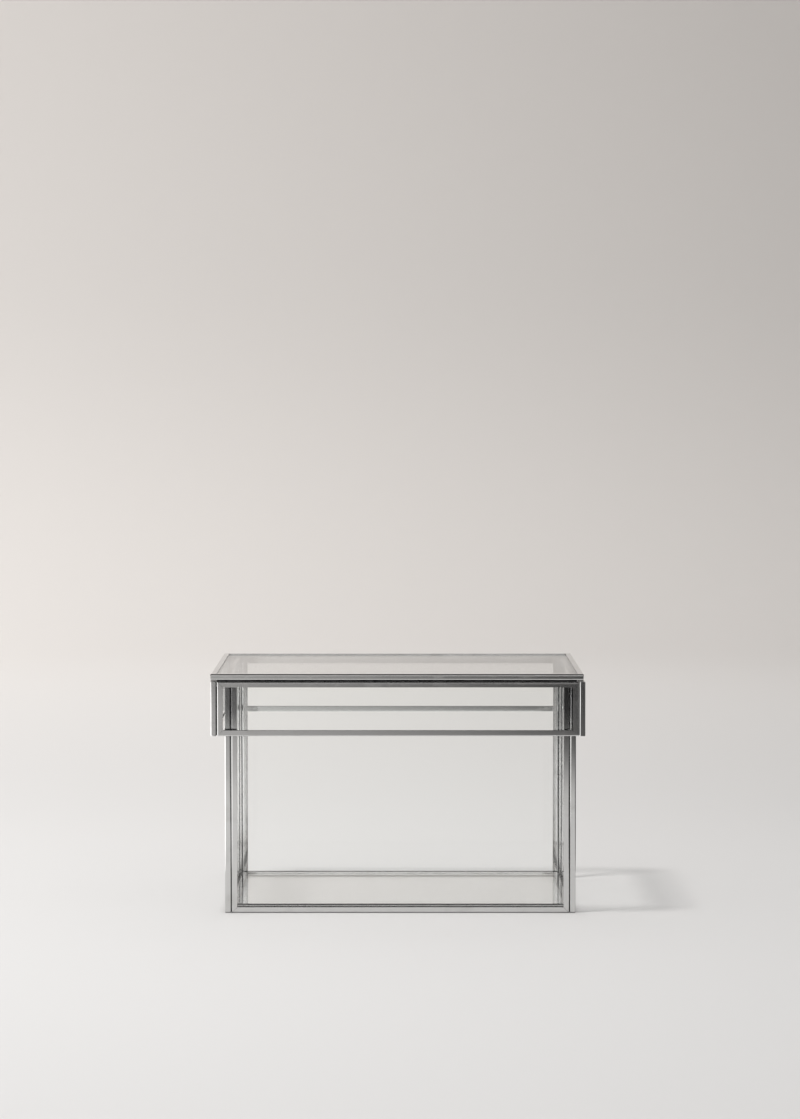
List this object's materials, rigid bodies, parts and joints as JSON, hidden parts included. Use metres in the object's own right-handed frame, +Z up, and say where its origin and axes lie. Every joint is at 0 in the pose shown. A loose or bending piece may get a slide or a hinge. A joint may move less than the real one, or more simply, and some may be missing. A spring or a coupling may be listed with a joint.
{
  "type": "glass trinket box",
  "caption": "Clear glass trinket box with polished metal channels on every edge and a loose skirted glass lid that lifts straight off.",
  "frame": {"origin": "on the table, under the middle of the lid's outline", "axes": "+Z up, +X along the box's long side towards its right-hand end, -Y the front"},
  "size_m": [0.2, 0.141, 0.129],
  "materials": {
    "clear_glass": "clear polished float glass with a faint green edge",
    "nickel_channel": "polished nickel plate",
    "solder": "dull silver solder"
  },
  "bodies": {
    "base": {"base_front_glass": "clear_glass", "base_front_channel_left": "nickel_channel", "base_front_channel_right": "nickel_channel", "base_front_channel_bottom": "nickel_channel", "base_front_channel_top": "nickel_channel", "base_back_glass": "clear_glass", "base_back_channel_left": "nickel_channel", "base_back_channel_right": "nickel_channel", "base_back_channel_bottom": "nickel_channel", "base_back_channel_top": "nickel_channel", "base_left_glass": "clear_glass", "base_left_channel_front": "nickel_channel", "base_left_channel_back": "nickel_channel", "base_left_channel_bottom": "nickel_channel", "base_left_channel_top": "nickel_channel", "base_right_glass": "clear_glass", "base_right_channel_front": "nickel_channel", "base_right_channel_back": "nickel_channel", "base_right_channel_bottom": "nickel_channel", "base_right_channel_top": "nickel_channel", "base_floor_glass": "clear_glass", "base_floor_channel_left": "nickel_channel", "base_floor_channel_right": "nickel_channel", "base_floor_channel_front": "nickel_channel", "base_floor_channel_back": "nickel_channel", "base_solder": "solder"},
    "lid": {"lid_front_glass": "clear_glass", "lid_front_channel_left": "nickel_channel", "lid_front_channel_right": "nickel_channel", "lid_front_channel_bottom": "nickel_channel", "lid_front_channel_top": "nickel_channel", "lid_back_glass": "clear_glass", "lid_back_channel_left": "nickel_channel", "lid_back_channel_right": "nickel_channel", "lid_back_channel_bottom": "nickel_channel", "lid_back_channel_top": "nickel_channel", "lid_left_glass": "clear_glass", "lid_left_channel_front": "nickel_channel", "lid_left_channel_back": "nickel_channel", "lid_left_channel_bottom": "nickel_channel", "lid_left_channel_top": "nickel_channel", "lid_right_glass": "clear_glass", "lid_right_channel_front": "nickel_channel", "lid_right_channel_back": "nickel_channel", "lid_right_channel_bottom": "nickel_channel", "lid_right_channel_top": "nickel_channel", "lid_top_glass": "clear_glass", "lid_top_channel_left": "nickel_channel", "lid_top_channel_right": "nickel_channel", "lid_top_channel_front": "nickel_channel", "lid_top_channel_back": "nickel_channel", "lid_solder": "solder"}
  },
  "joints": [
    {"name": "lid_lift", "type": "slide", "parent": "base", "child": "lid", "axis": [0, 0, 1], "range_m": [0, 0.14]}
  ]
}
